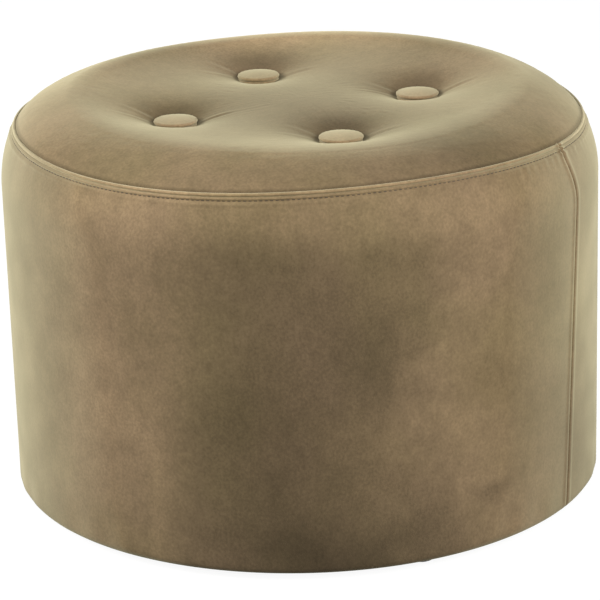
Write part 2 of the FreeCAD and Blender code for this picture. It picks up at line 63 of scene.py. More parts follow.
print("frame loaded:", len(frame["nodes"]), "nodes")

# What the frame says about sizes and places
sideLow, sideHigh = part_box("side_cover_front")
sideRadius = sideHigh.x
seamHeight = sideHigh.z
hemHeight = sideLow.z
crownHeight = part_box("top_cover")[1].z
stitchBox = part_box("top_stitching")
stitchHeight = (stitchBox[0].z + stitchBox[1].z) / 2


def boxFoot(node):
    low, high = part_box(node)
    return Vector(((low.x + high.x) / 2, (low.y + high.y) / 2, low.z))


buttonNodes = sorted(name for name in frame["nodes"] if name.startswith("button_cover"))
buttonFeet = [boxFoot(name) for name in buttonNodes]

# Camera, as the photograph was taken
cameraLook = dict(
    place=(1.2087, -2.0935, 0.98004),
    aim=(-0.003184, -0.001838, 0.165807),
    roll=-1.7514,
    lens=162.46,
)


def makeCamera():
    place = Vector(cameraLook["place"])
    ahead = (Vector(cameraLook["aim"]) - place).normalized()
    right = ahead.cross(Vector((0, 0, 1))).normalized()
    up = right.cross(ahead)
    turn = math.radians(cameraLook["roll"])
    across = right * math.cos(turn) + up * math.sin(turn)
    upward = up * math.cos(turn) - right * math.sin(turn)
    data = bpy.data.cameras.new("photoCamera")
    data.lens = cameraLook["lens"]
    data.sensor_width = 36
    data.clip_end = 20
    camera = bpy.data.objects.new("photoCamera", data)
    bpy.context.scene.collection.objects.link(camera)
    turned = Matrix((across, upward, -ahead)).transposed().to_4x4()
    camera.matrix_world = Matrix.Translation(place) @ turned
    bpy.context.scene.camera = camera


# Floor, world and lamps
stageLook = dict(
    floorColor=0.15,
    floorGlow=0.92,
    worldColor=(1.0, 1.0, 1.0),
    worldStrength=0.22,
    lamps=[
        ("keyLeft", (-2.9, -1.5, 1.3), 2.2, 150, (1.0, 0.98, 0.93)),
        ("fillRight", (2.9, -0.3, 1.3), 2.2, 102, (1.0, 0.98, 0.93)),
        ("topFront", (1.1, -2.2, 2.3), 1.6, 20, (1.0, 0.98, 0.94)),
    ],
)


def makeStage():
    bpy.ops.mesh.primitive_plane_add(size=14, location=(0, 0, 0))
    floor = bpy.context.object
    floor.name = "studioFloor"
    material = bpy.data.materials.new("studioFloor")
    material.use_nodes = True
    nodes, links = material.node_tree.nodes, material.node_tree.links
    nodes.clear()
    output = nodes.new("ShaderNodeOutputMaterial")
    add = nodes.new("ShaderNodeAddShader")
    diffuse = nodes.new("ShaderNodeBsdfDiffuse")
    diffuse.inputs["Color"].default_value = (*[stageLook["floorColor"]] * 3, 1)
    glow = nodes.new("ShaderNodeEmission")
    seen = seenDirectly(nodes, links)
    strength = nodes.new("ShaderNodeMath")
    strength.operation = "MULTIPLY"
    strength.inputs[1].default_value = stageLook["floorGlow"]
    links.new(seen, strength.inputs[0])
    links.new(strength.outputs[0], glow.inputs["Strength"])
    links.new(diffuse.outputs[0], add.inputs[0])
    links.new(glow.outputs[0], add.inputs[1])
    links.new(add.outputs[0], output.inputs["Surface"])
    floor.data.materials.append(material)

    world = bpy.data.worlds.new("studioWorld")
    bpy.context.scene.world = world
    world.use_nodes = True
    nodes, links = world.node_tree.nodes, world.node_tree.links
    nodes.clear()
    output = nodes.new("ShaderNodeOutputWorld")
    background = nodes.new("ShaderNodeBackground")
    background.inputs["Color"].default_value = (*stageLook["worldColor"], 1)
    seen = seenDirectly(nodes, links)
    level = nodes.new("ShaderNodeMapRange")
    level.inputs["To Min"].default_value = stageLook["worldStrength"]
    level.inputs["To Max"].default_value = 1.0
    links.new(seen, level.inputs["Value"])
    links.new(level.outputs[0], background.inputs["Strength"])
    links.new(background.outputs[0], output.inputs["Surface"])

    for name, place, size, power, color in stageLook["lamps"]:
        data = bpy.data.lights.new(name, "AREA")
        data.size = size
        data.energy = power
        data.color = color
        lamp = bpy.data.objects.new(name, data)
        bpy.context.scene.collection.objects.link(lamp)
        lamp.location = place
        aim = Vector((0, 0, 0.2)) - Vector(place)
        lamp.rotation_euler = aim.to_track_quat("-Z", "Y").to_euler()


def seenDirectly(nodes, links):
    # 1 where the camera sees it, straight or through glass and mirrors
    path = nodes.new("ShaderNodeLightPath")
    total = path.outputs["Is Camera Ray"]
    for name in ("Is Glossy Ray", "Is Transmission Ray"):
        plus = nodes.new("ShaderNodeMath")
        plus.operation = "ADD"
        plus.use_clamp = True
        links.new(total, plus.inputs[0])
        links.new(path.outputs[name], plus.inputs[1])
        total = plus.outputs[0]
    return total


makeCamera()
makeStage()
scene = bpy.context.scene
scene.view_settings.view_transform = "Standard"
print("camera and stage done")


# Modelling helpers
def deselectAll():
    if bpy.context.object and bpy.context.object.mode != "OBJECT":
        bpy.ops.object.mode_set(mode="OBJECT")
    bpy.ops.object.select_all(action="DESELECT")


def useOnly(piece):
    deselectAll()
    piece.select_set(True)
    bpy.context.view_layer.objects.active = piece


def readPoints(piece):
    flat = np.empty(len(piece.data.vertices) * 3)
    piece.data.vertices.foreach_get("co", flat)
    return flat.reshape(-1, 3)


def writePoints(piece, points):
    piece.data.vertices.foreach_set("co", points.astype(np.float32).ravel())
    piece.data.update()


def applyModifier(piece, kind, **settings):
    useOnly(piece)
    modifier = piece.modifiers.new(kind.title(), kind)
    for key, value in settings.items():
        setattr(modifier, key, value)
    bpy.ops.object.modifier_apply(modifier=modifier.name)


def drawProfile(name, points):
    # A line of edges in the plane of X and Z, extruded point by point
    deselectAll()
    bpy.ops.mesh.primitive_plane_add(size=0.01)
    piece = bpy.context.object
    piece.name = name
    piece.data.name = name
    bpy.ops.object.mode_set(mode="EDIT")
    bpy.ops.mesh.select_all(action="SELECT")
    bpy.ops.mesh.merge(type="CENTER")
    bpy.ops.transform.translate(value=(points[0][0], 0, points[0][1]))
    for start, end in zip(points, points[1:]):
        step = (end[0] - start[0], 0, end[1] - start[1])
        bpy.ops.mesh.extrude_region_move(TRANSFORM_OT_translate={"value": step})
    return piece


def spinProfile(name, points, steps, angle=2 * math.pi):
    piece = drawProfile(name, points)
    bpy.ops.mesh.select_all(action="SELECT")
    bpy.ops.mesh.spin(steps=steps, angle=angle, center=(0, 0, 0), axis=(0, 0, 1))
    bpy.ops.mesh.select_all(action="SELECT")
    bpy.ops.mesh.remove_doubles(threshold=0.00002)
    bpy.ops.mesh.normals_make_consistent(inside=False)
    bpy.ops.object.mode_set(mode="OBJECT")
    return piece


def alignFaces(piece, flip=False):
    useOnly(piece)
    bpy.ops.object.mode_set(mode="EDIT")
    bpy.ops.mesh.select_all(action="SELECT")
    if flip:
        bpy.ops.mesh.flip_normals()
    else:
        bpy.ops.mesh.normals_make_consistent(inside=False)
    bpy.ops.object.mode_set(mode="OBJECT")


def shadeSmooth(piece, angle=40):
    useOnly(piece)
    bpy.ops.object.shade_smooth_by_angle(angle=math.radians(angle))


def finishPiece(piece, material, slot, *nodes):
    piece.data.materials.clear()
    piece.data.materials.append(material)
    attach(piece, "root")
    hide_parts(*nodes)


def smoothStep(low, high, value):
    share = np.clip((value - low) / (high - low), 0, 1)
    return share * share * (3 - 2 * share)


def bell(value, width):
    return np.exp(-((value / width) ** 2))


def wrapAngle(angle):
    return (angle + np.pi) % (2 * np.pi) - np.pi


def waves(angle, seed, counts, strength):
    # A smooth closed wave round the body, the same on each run
    chance = np.random.default_rng(seed)
    total = np.zeros_like(angle)
    for count in counts:
        total += chance.uniform(0.4, 1) * np.sin(count * angle + chance.uniform(0, 2 * np.pi))
    return total * strength / math.sqrt(len(counts))


# The folded edge rises and falls a little, and the side seams lean
seamLook = dict(
    wander=0.0027,
    wanderPeak=-36.0,
    leanSlope=15.0,        # degrees for each metre of height
    leanStart=-2.2,
    leanBack=3.0,          # degrees the seam turns back under the edge
)


def seamWander(angle):
    return seamLook["wander"] * np.cos(3 * (angle - math.radians(seamLook["wanderPeak"])))


def seamLean(height):
    look = seamLook
    turned = look["leanStart"] + look["leanSlope"] * height
    return np.radians(turned - look["leanBack"] * smoothStep(0.288, 0.350, height))


# Material helpers
def feed(links, socket, value):
    # A socket takes a link or a plain value
    if isinstance(value, bpy.types.NodeSocket):
        links.new(value, socket)
    elif isinstance(value, tuple) and socket.type == "RGBA":
        socket.default_value = (*value, 1)
    else:
        socket.default_value = value


def newMaterial(name):
    material = bpy.data.materials.new(name)
    material.use_nodes = True
    nodes, links = material.node_tree.nodes, material.node_tree.links
    return material, nodes, links, nodes["Principled BSDF"]


def newGroup(name, inputs, outputs):
    group = bpy.data.node_groups.new(name, "ShaderNodeTree")
    for label, value in inputs.items():
        socket = group.interface.new_socket(name=label, in_out="INPUT", socket_type="NodeSocketFloat")
        socket.default_value = value
    for label, kind in outputs.items():
        group.interface.new_socket(name=label, in_out="OUTPUT", socket_type=kind)
    given = group.nodes.new("NodeGroupInput")
    result = group.nodes.new("NodeGroupOutput")
    return group, group.nodes, group.links, given, result


def placeGroup(nodes, group, **values):
    node = nodes.new("ShaderNodeGroup")
    node.node_tree = group
    for label, value in values.items():
        node.inputs[label].default_value = value
    return node


def noiseNode(nodes, links, place, scale, detail=4, stretch=(1, 1, 1), offset=(0, 0, 0)):
    mapping = nodes.new("ShaderNodeMapping")
    mapping.inputs["Scale"].default_value = stretch
    feed(links, mapping.inputs["Location"], offset)
    links.new(place.outputs["Object"], mapping.inputs["Vector"])
    node = nodes.new("ShaderNodeTexNoise")
    feed(links, node.inputs["Scale"], scale)
    feed(links, node.inputs["Detail"], detail)
    links.new(mapping.outputs[0], node.inputs["Vector"])
    return node.outputs["Fac"]


def mathNode(nodes, links, kind, first, second):
    node = nodes.new("ShaderNodeMath")
    node.operation = kind
    feed(links, node.inputs[0], first)
    feed(links, node.inputs[1], second)
    return node.outputs[0]


def shiftNode(nodes, links, axis, value):
    node = nodes.new("ShaderNodeCombineXYZ")
    links.new(value, node.inputs[axis])
    return node.outputs[0]


def rangeNode(nodes, links, value, fromLow, fromHigh, toLow, toHigh):
    node = nodes.new("ShaderNodeMapRange")
    node.inputs["From Min"].default_value = fromLow
    node.inputs["From Max"].default_value = fromHigh
    node.inputs["To Min"].default_value = toLow
    node.inputs["To Max"].default_value = toHigh
    links.new(value, node.inputs["Value"])
    return node.outputs[0]


def mixColor(nodes, links, factor, first, second, blend="MIX"):
    node = nodes.new("ShaderNodeMix")
    node.data_type = "RGBA"
    node.blend_type = blend
    colorInputs = [item for item in node.inputs if item.type == "RGBA"]
    for item, color in zip(colorInputs, (first, second)):
        feed(links, item, color)
    feed(links, node.inputs[0], factor)
    return next(item for item in node.outputs if item.type == "RGBA")


def bumpNode(nodes, links, height, strength, distance, below=None):
    node = nodes.new("ShaderNodeBump")
    feed(links, node.inputs["Strength"], strength)
    node.inputs["Distance"].default_value = distance
    links.new(height, node.inputs["Height"])
    if below is not None:
        links.new(below, node.inputs["Normal"])
    return node.outputs[0]


# Velvet: short pile whose lie turns from place to place
velvetLook = dict(
    deep=(0.118, 0.084, 0.044),       # pile lying away
    olive=(0.180, 0.138, 0.070),      # pile lying towards
    rose=(0.208, 0.146, 0.087),       # warm brown patches
    rim=(0.56, 0.53, 0.36),           # painted sheen: pile seen from its side
    paintedSheenBlend=0.35,
    sheenTint=(0.80, 0.73, 0.48),
    sheen=0.35,
    sheenRoughness=0.40,
    roughness=0.9,
    specular=0.15,
    patch=6.5,             # sizes of the patches and of the grain, larger is finer
    warmPatch=9.0,
    warmOffset=3.0,
    patchRange=(0.30, 0.70, 0.2, 0.9),     # from these noise values to these shares
    warmRange=(0.32, 0.66, 0.15, 0.85),
    mottle=95.0,
    grain=430.0,
    pile=900.0,
    mottleSpread=0.09,     # how far colour goes up and down
    grainSpread=0.14,
    mottleRelief=0.16,
    mottleDepth=0.0012,
    pileRelief=0.25,
    pileDepth=0.0006,
)


def makeVelvetPile():
    look = velvetLook
    outputs = {"Color": "NodeSocketColor", "Normal": "NodeSocketVector"}
    group, nodes, links, given, result = newGroup("velvetPile", {"Seed": 0.0, "Lift": 1.0}, outputs)
    place = nodes.new("ShaderNodeTexCoord")
    seed = given.outputs["Seed"]
    warmSeed = mathNode(nodes, links, "ADD", seed, look["warmOffset"])
    patch = noiseNode(nodes, links, place, look["patch"], 4, (1, 1, 0.9), shiftNode(nodes, links, 0, seed))
    warmShift = shiftNode(nodes, links, 2, warmSeed)
    warm = noiseNode(nodes, links, place, look["warmPatch"], 3, (1, 1, 0.8), warmShift)
    mottle = noiseNode(nodes, links, place, look["mottle"], 4, (1, 1, 0.8), shiftNode(nodes, links, 1, seed))
    grain = noiseNode(nodes, links, place, look["grain"], 3, (1, 1, 0.9))
    pile = noiseNode(nodes, links, place, look["pile"], 3)
    lie = rangeNode(nodes, links, patch, *look["patchRange"])
    color = mixColor(nodes, links, lie, look["deep"], look["olive"])
    warmShare = rangeNode(nodes, links, warm, *look["warmRange"])
    color = mixColor(nodes, links, warmShare, color, look["rose"])
    for pattern, spread in ((mottle, look["mottleSpread"]), (grain, look["grainSpread"])):
        shade = rangeNode(nodes, links, pattern, 0.3, 0.7, 1 - spread, 1 + spread)
        color = mixColor(nodes, links, 1.0, color, shade, "MULTIPLY")
    # Painted light: the colour of each copy of the velvet is made lighter or darker as a whole
    color = mixColor(nodes, links, 1.0, color, given.outputs["Lift"], "MULTIPLY")
    normal = bumpNode(nodes, links, mottle, look["mottleRelief"], look["mottleDepth"])
    normal = bumpNode(nodes, links, pile, look["pileRelief"], look["pileDepth"], normal)
    links.new(color, result.inputs["Color"])
    links.new(normal, result.inputs["Normal"])
    return group


velvetPile = makeVelvetPile()


def velvetMaterial(name, lift, seed, paintedSheenShare, paintedSheenStart, withLieAndLight=True):
    look = velvetLook
    material, nodes, links, shader = newMaterial(name)
    # lift is painted light: it makes this copy of the velvet lighter or darker as a whole
    pile = placeGroup(nodes, velvetPile, Seed=seed, Lift=lift)
    # Painted sheen: the pale rim colour is mixed into the base colour where the surface turns edge-on
    facing = nodes.new("ShaderNodeLayerWeight")
    facing.inputs["Blend"].default_value = look["paintedSheenBlend"]
    rim = rangeNode(nodes, links, facing.outputs["Facing"], paintedSheenStart, 1.0, 0, paintedSheenShare)
    color = mixColor(nodes, links, rim, pile.outputs["Color"], look["rim"])
    if withLieAndLight:
        # Painted light and shade, with the uneven lie of the pile, read from the point attribute
        lieAndLightAt = nodes.new("ShaderNodeAttribute")
        lieAndLightAt.attribute_name = "pileLie"
        color = mixColor(nodes, links, 1.0, color, lieAndLightAt.outputs["Fac"], "MULTIPLY")
    links.new(color, shader.inputs["Base Color"])
    links.new(pile.outputs["Normal"], shader.inputs["Normal"])
    shader.inputs["Roughness"].default_value = look["roughness"]
    shader.inputs["Specular IOR Level"].default_value = look["specular"]
    shader.inputs["Sheen Weight"].default_value = look["sheen"]
    shader.inputs["Sheen Roughness"].default_value = look["sheenRoughness"]
    shader.inputs["Sheen Tint"].default_value = (*look["sheenTint"], 1)
    return material


# Painted light and shade on the wall, with some patches of pile lie: degrees round from the side
# that faces the camera and metres up, reach both ways, and how much lighter it is painted
viewAngle = -60.0
wallLightAndLieStrokes = dict(
    leftSweep=dict(at=(-34, 0.150), reach=(15, 0.230), lift=0.32),
    middleShade=dict(at=(1, 0.115), reach=(13, 0.145), lift=-0.22),
    footShade=dict(at=(13, 0.010), reach=(13, 0.040), lift=-0.36),
    footShadeLeft=dict(at=(-5, 0.015), reach=(14, 0.035), lift=-0.20),
    underEdge=dict(at=(-2, 0.335), reach=(30, 0.028), lift=0.42),
    puckerLeft=dict(at=(-19, 0.012), reach=(2.5, 0.012), lift=-0.30),
    spotRight=dict(at=(36, 0.055), reach=(3, 0.008), lift=-0.25),
    creaseLeft=dict(at=(-38, 0.100), reach=(8, 0.010), lift=-0.10),
    streakLeft=dict(at=(-26, 0.060), reach=(3, 0.080), lift=0.14),
    middleDab=dict(at=(12, 0.205), reach=(9, 0.040), lift=-0.14),
    rightSweep=dict(at=(36, 0.165), reach=(9, 0.080), lift=0.24),
    underEdgeRight=dict(at=(38, 0.325), reach=(14, 0.025), lift=0.08),
    lowRight=dict(at=(62, 0.055), reach=(9, 0.045), lift=-0.16),
    farRight=dict(at=(78, 0.200), reach=(9, 0.150), lift=0.16),
    backShade=dict(at=(165, 0.190), reach=(22, 0.090), lift=-0.22),
    backSweep=dict(at=(-140, 0.120), reach=(25, 0.080), lift=0.18),
)
# Painted light and shade on the top, as on the wall: metres to the right and away from the camera
topLightAndLieStrokes = dict(
    middle=dict(at=(0.01, -0.04), reach=(0.135, 0.115), lift=-0.34),
    nearRight=dict(at=(0.15, -0.19), reach=(0.085, 0.050), lift=-0.30),
    nearEdge=dict(at=(0.03, -0.235), reach=(0.120, 0.022), lift=-0.12),
    left=dict(at=(-0.20, 0.05), reach=(0.070, 0.120), lift=0.26),
    farEdge=dict(at=(0.03, 0.22), reach=(0.190, 0.050), lift=0.85),
    nearLeft=dict(at=(-0.05, -0.21), reach=(0.120, 0.045), lift=0.12),
    right=dict(at=(0.22, 0.02), reach=(0.050, 0.080), lift=0.16),
)
lieAndLightLook = dict(
    driftScale=11.0,       # size of the uneven edges, larger is finer
    smallScale=34.0,
    wallTurn=10.0,         # degrees and metres that an edge strays
    wallTurnSmall=3.0,
    wallRise=0.030,
    topStray=0.015,
    wallDrift=0.13,        # how uneven the pile lies everywhere
    wallSmall=0.10,
    topDrift=0.08,
    topSmall=0.06,
    edgeHighlight=0.40,         # painted highlight where the folded edge and the band under it catch light
    edgeWidth=0.0013,
    bandHighlight=0.10,
    bandWidth=0.002,
    # painted shade along the foot of the wall, by the hem
    hemShade=0.35,
    hemWidth=0.005,
    pitShade=0.42,         # painted shade on the far wall of each button's hollow
    pitAway=0.030,
    pitReach=(0.030, 0.024),
    ringShade=0.45,        # painted shade close round each button
    ringRadius=0.0205,
    ringWidth=0.0028,
    rimShade=0.35,         # painted shade where the top meets the folded edge
    least=0.3,
)


# Stores painted light and shade, with the uneven lie of the pile, as a point attribute on the velvet
def keepLieAndLight(piece, lie):
    store = piece.data.attributes.new("pileLie", "FLOAT", "POINT")
    store.data.foreach_set("value", np.maximum(lie, lieAndLightLook["least"]).astype(np.float32))


def unevenness(points):
    # Three readings a way apart, because noise_vector differs from run to run
    look = lieAndLightLook
    apart = [Vector((share * 3.7, share * 5.1, share * 7.3)) for share in range(3)]
    drift = [[noise.noise(Vector(point) * look["driftScale"] + away) for away in apart] for point in points]
    small = [noise.noise(Vector(point) * look["smallScale"]) for point in points]
    return np.array(drift), np.array(small)


# Painted light and shade on the wall, with some uneven lie of the pile, kept as a point attribute
def paintWallLieAndLight(piece):
    look = lieAndLightLook
    points = readPoints(piece)
    angle = np.arctan2(points[:, 1], points[:, 0])
    drift, small = unevenness(points)
    around = np.degrees(angle) - viewAngle + drift[:, 0] * look["wallTurn"] + small * look["wallTurnSmall"]
    height = points[:, 2] + drift[:, 1] * look["wallRise"]
    lie = 1 + drift[:, 2] * look["wallDrift"] + small * look["wallSmall"]
    # Each stroke paints the wall lighter or darker
    for stroke in wallLightAndLieStrokes.values():
        turned = (around - stroke["at"][0] + 180) % 360 - 180
        offTurn = turned / stroke["reach"][0]
        offHeight = (height - stroke["at"][1]) / stroke["reach"][1]
        spread = offTurn ** 2 + offHeight ** 2
        lie *= 1 + stroke["lift"] * np.exp(-spread ** 1.5 * 0.5)
    # Painted highlight on the folded edge and the band under it
    under = seamHeight + seamWander(angle) - points[:, 2]
    edge = look["edgeHighlight"] * bell(under - 0.0002, look["edgeWidth"])
    lie *= 1 + edge + look["bandHighlight"] * bell(under - 0.003, look["bandWidth"])
    # Painted shade along the hem
    lie *= 1 - look["hemShade"] * bell(points[:, 2] - hemHeight, look["hemWidth"])
    keepLieAndLight(piece, lie)


def fromCamera(x, y):
    # How far a place lies to the right and away, as the camera sees it
    turn = math.radians(viewAngle)
    return y * math.cos(turn) - x * math.sin(turn), -(x * math.cos(turn) + y * math.sin(turn))


# Painted light and shade on the top, with some uneven lie of the pile, kept as a point attribute
def paintTopLieAndLight(piece):
    look = lieAndLightLook
    points = readPoints(piece)
    drift, small = unevenness(points)
    right, away = fromCamera(points[:, 0], points[:, 1])
    right = right + drift[:, 1] * look["topStray"]
    away = away + drift[:, 0] * look["topStray"]
    lie = 1 + drift[:, 2] * look["topDrift"] + small * look["topSmall"]
    # Painted light and shade on the top, from the listed strokes and the button hollows
    marks = list(topLightAndLieStrokes.values())
    # Painted shade on the far wall of each button's hollow
    for foot in buttonFeet:
        footRight, footAway = fromCamera(foot.x, foot.y)
        pit = (footRight, footAway + look["pitAway"])
        marks.append(dict(at=pit, reach=look["pitReach"], lift=-look["pitShade"]))
    for mark in marks:
        offRight = (right - mark["at"][0]) / mark["reach"][0]
        offAway = (away - mark["at"][1]) / mark["reach"][1]
        lie *= 1 + mark["lift"] * np.exp(-(offRight ** 2 + offAway ** 2))
    # Painted shade close round each button
    for foot in buttonFeet:
        reach = np.hypot(points[:, 0] - foot.x, points[:, 1] - foot.y)
        lie *= 1 - look["ringShade"] * bell(reach - look["ringRadius"], look["ringWidth"])
    # Painted shade where the top meets the folded edge
    radius = np.hypot(points[:, 0], points[:, 1])
    lie *= 1 - look["rimShade"] * smoothStep(topLook["rim"] - 0.004, topLook["rim"] - 0.001, radius)
    keepLieAndLight(piece, lie)


# Top panel: a dome drawn down at four buttons, which sit a little unevenly
buttonLifts = (0.0004, 0.0036, 0.0002, 0.0008)
topLook = dict(
    rim=0.2596,            # radius where it meets the folded edge
    rise=0.0390,           # height of the dome over the seam, at the back
    frontDrop=0.0120,      # how much less it rises on the side sat on most
    frontAngle=-60.0,
    flatness=6.0,
    shoulder=0.87,
    dish=0.0180,           # level of the hollowed middle over the seam
    dishEdge=0.0120,       # how much the hollow rises by its reach
    dishBack=0.0080,       # and how much more at the back
    dishReach=0.225,
    seatRadius=0.0203,
    seatPull=0.0158,
    pullReach=0.032,
    blend=0.0055,
    ridges=(38.0, 184.0, 212.0),
    ridgeRise=0.0005,
    ridgeWidth=0.0022,
    troughShare=0.7,
    troughAway=0.004,
    troughWidth=0.0025,
    ridgeStart=(0.020, 0.030),
    ridgeEnd=(0.036, 0.062),
    tuck=((-0.0003, 0.0012), (-0.0012, 0.0024), (-0.0022, 0.0090)),
    ring=0.0025,           # mesh pitch along a radius
    steps=360,
    thickness=0.0016,
    wanderFrom=0.19,       # radius from which the top follows the edge's wander
    fill=0.8,
)


def domeHeight(radius, angle):
    look = topLook
    share = np.clip(radius / look["rim"], 0, 1)
    lift = (1 - share ** look["flatness"]) ** look["shoulder"]
    return seamHeight + (look["rise"] - look["frontDrop"] * frontShare(angle)) * lift


def frontShare(angle):
    return smoothStep(-0.1, 0.9, np.cos(angle - math.radians(topLook["frontAngle"])))


def softLower(first, second, blend):
    # The lower of two heights with a rounded change between them
    share = np.clip(0.5 + (second - first) / (2 * blend), 0, 1)
    return second + (first - second) * share - blend * share * (1 - share)


def topHeight(x, y):
    look = topLook
    radius = np.hypot(x, y)
    angle = np.arctan2(y, x)
    dome = domeHeight(radius, angle)
    edge = look["dishEdge"] + look["dishBack"] * (1 - frontShare(angle))
    dish = seamHeight + look["dish"] + edge * (radius / look["dishReach"]) ** 5
    height = softLower(dome, dish, look["blend"])
    for foot, lift in zip(buttonFeet, buttonLifts):
        reach = np.hypot(x - foot.x, y - foot.y)
        away = np.maximum(reach - look["seatRadius"], 0)
        height = height - (look["seatPull"] - lift) * np.exp(-away / look["pullReach"])
        # Small ridges where the button draws the cloth together
        turned = np.arctan2(y - foot.y, x - foot.x)
        along = smoothStep(*look["ridgeStart"], reach) * (1 - smoothStep(*look["ridgeEnd"], reach))
        for heading in look["ridges"]:
            off = wrapAngle(turned - math.radians(heading))
            across = np.where(np.abs(off) < 1, reach * np.sin(off), 1)
            trough = look["troughShare"] * bell(across + look["troughAway"], look["troughWidth"])
            height = height + look["ridgeRise"] * (bell(across, look["ridgeWidth"]) - trough) * along
    return height


# How the cloth settles between the edge and the buttons
settleLook = dict(
    cells=130,
    frames=20,
    pressure=2.0,
    hold=0.35,             # how firmly the padding keeps its form
    spare=-0.006,          # cloth cut a little larger than the pad
    seatHold=0.017,        # held this near to a button's middle
    edgeHold=(0.012, 0.004),
    cap=0.0022,            # how far a point may move
    share=0.45,            # how much of the settling stays
)


def settleCloth(cloth, start):
    # The edge and the buttons hold the cloth, the padding only a little
    look = settleLook
    radius = np.hypot(start[:, 0], start[:, 1])
    held = np.maximum(look["hold"], smoothStep(*look["edgeHold"], topLook["rim"] - radius))
    for foot in buttonFeet:
        away = np.hypot(start[:, 0] - foot.x, start[:, 1] - foot.y)
        held = np.where(away < look["seatHold"], 1.0, held)
    group = cloth.vertex_groups.new(name="held")
    for index, weight in enumerate(held):
        group.add([index], float(weight), "REPLACE")
    useOnly(cloth)
    modifier = cloth.modifiers.new("Cloth", "CLOTH")
    settings = modifier.settings
    settings.quality = 5
    settings.mass = 0.25
    settings.tension_stiffness = 12
    settings.compression_stiffness = 12
    settings.shear_stiffness = 4
    settings.bending_stiffness = 3
    settings.air_damping = 2
    settings.vertex_group_mass = "held"
    settings.pin_stiffness = 1
    settings.shrink_min = look["spare"]
    settings.use_pressure = True
    settings.uniform_pressure_force = look["pressure"]
    settings.effector_weights.gravity = 0
    for number in range(1, look["frames"] + 1):
        bpy.context.scene.frame_set(number)
    bpy.ops.object.modifier_apply(modifier=modifier.name)
    bpy.context.scene.frame_set(1)


def settledShift(x, y):
    look = settleLook
    cells = look["cells"]
    size = 2 * topLook["rim"]
    deselectAll()
    bpy.ops.mesh.primitive_grid_add(x_subdivisions=cells, y_subdivisions=cells, size=size)
    cloth = bpy.context.object
    start = readPoints(cloth)
    start[:, 2] = topHeight(start[:, 0], start[:, 1])
    writePoints(cloth, start)
    settleCloth(cloth, start)
    shift = readPoints(cloth) - start
    bpy.data.objects.remove(cloth)
    length = np.linalg.norm(shift, axis=1)
    print("cloth moved at most", round(float(length.max()) * 1000, 2), "mm")
    shift *= look["share"] * (np.minimum(length, look["cap"]) / np.maximum(length, 1e-9))[:, None]
    # The same grid in rows and columns, read between its points
    column = np.rint((start[:, 0] / size + 0.5) * cells).astype(int)
    row = np.rint((start[:, 1] / size + 0.5) * cells).astype(int)
    field = np.zeros((cells + 1, cells + 1, 3))
    field[row, column] = shift
    across = np.clip((x / size + 0.5) * cells, 0, cells - 0.001)
    along = np.clip((y / size + 0.5) * cells, 0, cells - 0.001)
    left, low = across.astype(int), along.astype(int)
    partX, partY = (across - left)[:, None], (along - low)[:, None]
    near = field[low, left] * (1 - partX) + field[low, left + 1] * partX
    far = field[low + 1, left] * (1 - partX) + field[low + 1, left + 1] * partX
    return near * (1 - partY) + far * partY


def makeTopPanel(material):
    look = topLook
    count = int(look["rim"] / look["ring"])
    radii = [look["rim"] * math.sin(math.pi / 2 * index / count) for index in range(count + 1)]
    outline = [(radius, seamHeight) for radius in radii]
    tuck = [(look["rim"] + across, seamHeight - drop) for across, drop in look["tuck"]]
    piece = spinProfile("topPanel", outline + tuck, look["steps"])
    points = readPoints(piece)
    upper = points[:, 2] > seamHeight - 0.0005
    points[upper, 2] = topHeight(points[upper, 0], points[upper, 1])
    points[upper] += settledShift(points[upper, 0], points[upper, 1])
    radius = np.hypot(points[:, 0], points[:, 1])
    wander = seamWander(np.arctan2(points[:, 1], points[:, 0]))
    points[:, 2] += wander * smoothStep(look["wanderFrom"], look["rim"] - 0.004, radius)
    writePoints(piece, points)
    alignFaces(piece)
    applyModifier(piece, "SOLIDIFY", thickness=look["thickness"], offset=-1)
    shadeSmooth(piece, 60)
    paintTopLieAndLight(piece)
    finishPiece(piece, material, "velvet_top", "top_cover", "top_wadding", "crown_foam")


# Side panels: two halves joined at +X and -X
sideLook = dict(
    hemInner=0.232,
    bottomRound=0.006,
    shoulderLow=0.2947,    # where the wall starts to lean in
    neckRadius=0.2612,     # radius just under the folded edge
    bandDrop=0.0055,       # from the folded edge down to the stitches
    foldRound=0.0017,
    foldRise=0.0006,
    foldDepth=0.0100,
    grooveDepth=0.0010,
    grooveWidth=0.0012,
    bandPuff=0.0006,
    neckDepth=0.0005,
    wallPitch=0.0040,
    shoulderPitch=0.0025,
    bandPitch=0.0006,
    steps=300,
    crowding=0.148,        # how much closer the columns lie at the side seams
    thickness=0.0016,
    seamGroove=0.0013,
    seamWidth=0.0009,
    seamPuff=0.0007,
    seamBand=0.0085,
    foldClear=(0.0010, 0.0022),
    neckDrop=0.0026,
    neckWidth=0.0007,
    puffOver=0.0016,
    puffOverWidth=0.0009,
    puffUnder=0.0026,
    puffUnderWidth=0.0018,
    pucker=0.00022,
    puckerDrop=0.004,
    puckerReach=0.006,
    puckerCounts=(61, 83, 97, 131, 173),
    swell=0.0006,
    swellFrom=0.03,
    swellCounts=(2, 3, 5, 7),
    ribReach=0.0032,
    ribWidth=0.0011,
    ribRise=0.0007,
    hemReach=0.045,
    hemPucker=0.0007,
    hemCounts=(17, 26, 37, 49),
    fill=0.9,
)


def shoulderRadius(height):
    # An arc that leaves the wall upright and ends at the folded edge
    rise = seamHeight - sideLook["shoulderLow"]
    inset = sideRadius - sideLook["neckRadius"]
    bend = (rise * rise + inset * inset) / (2 * inset)
    above = np.maximum(height - sideLook["shoulderLow"], 0)
    return sideRadius - bend + np.sqrt(bend * bend - above * above)


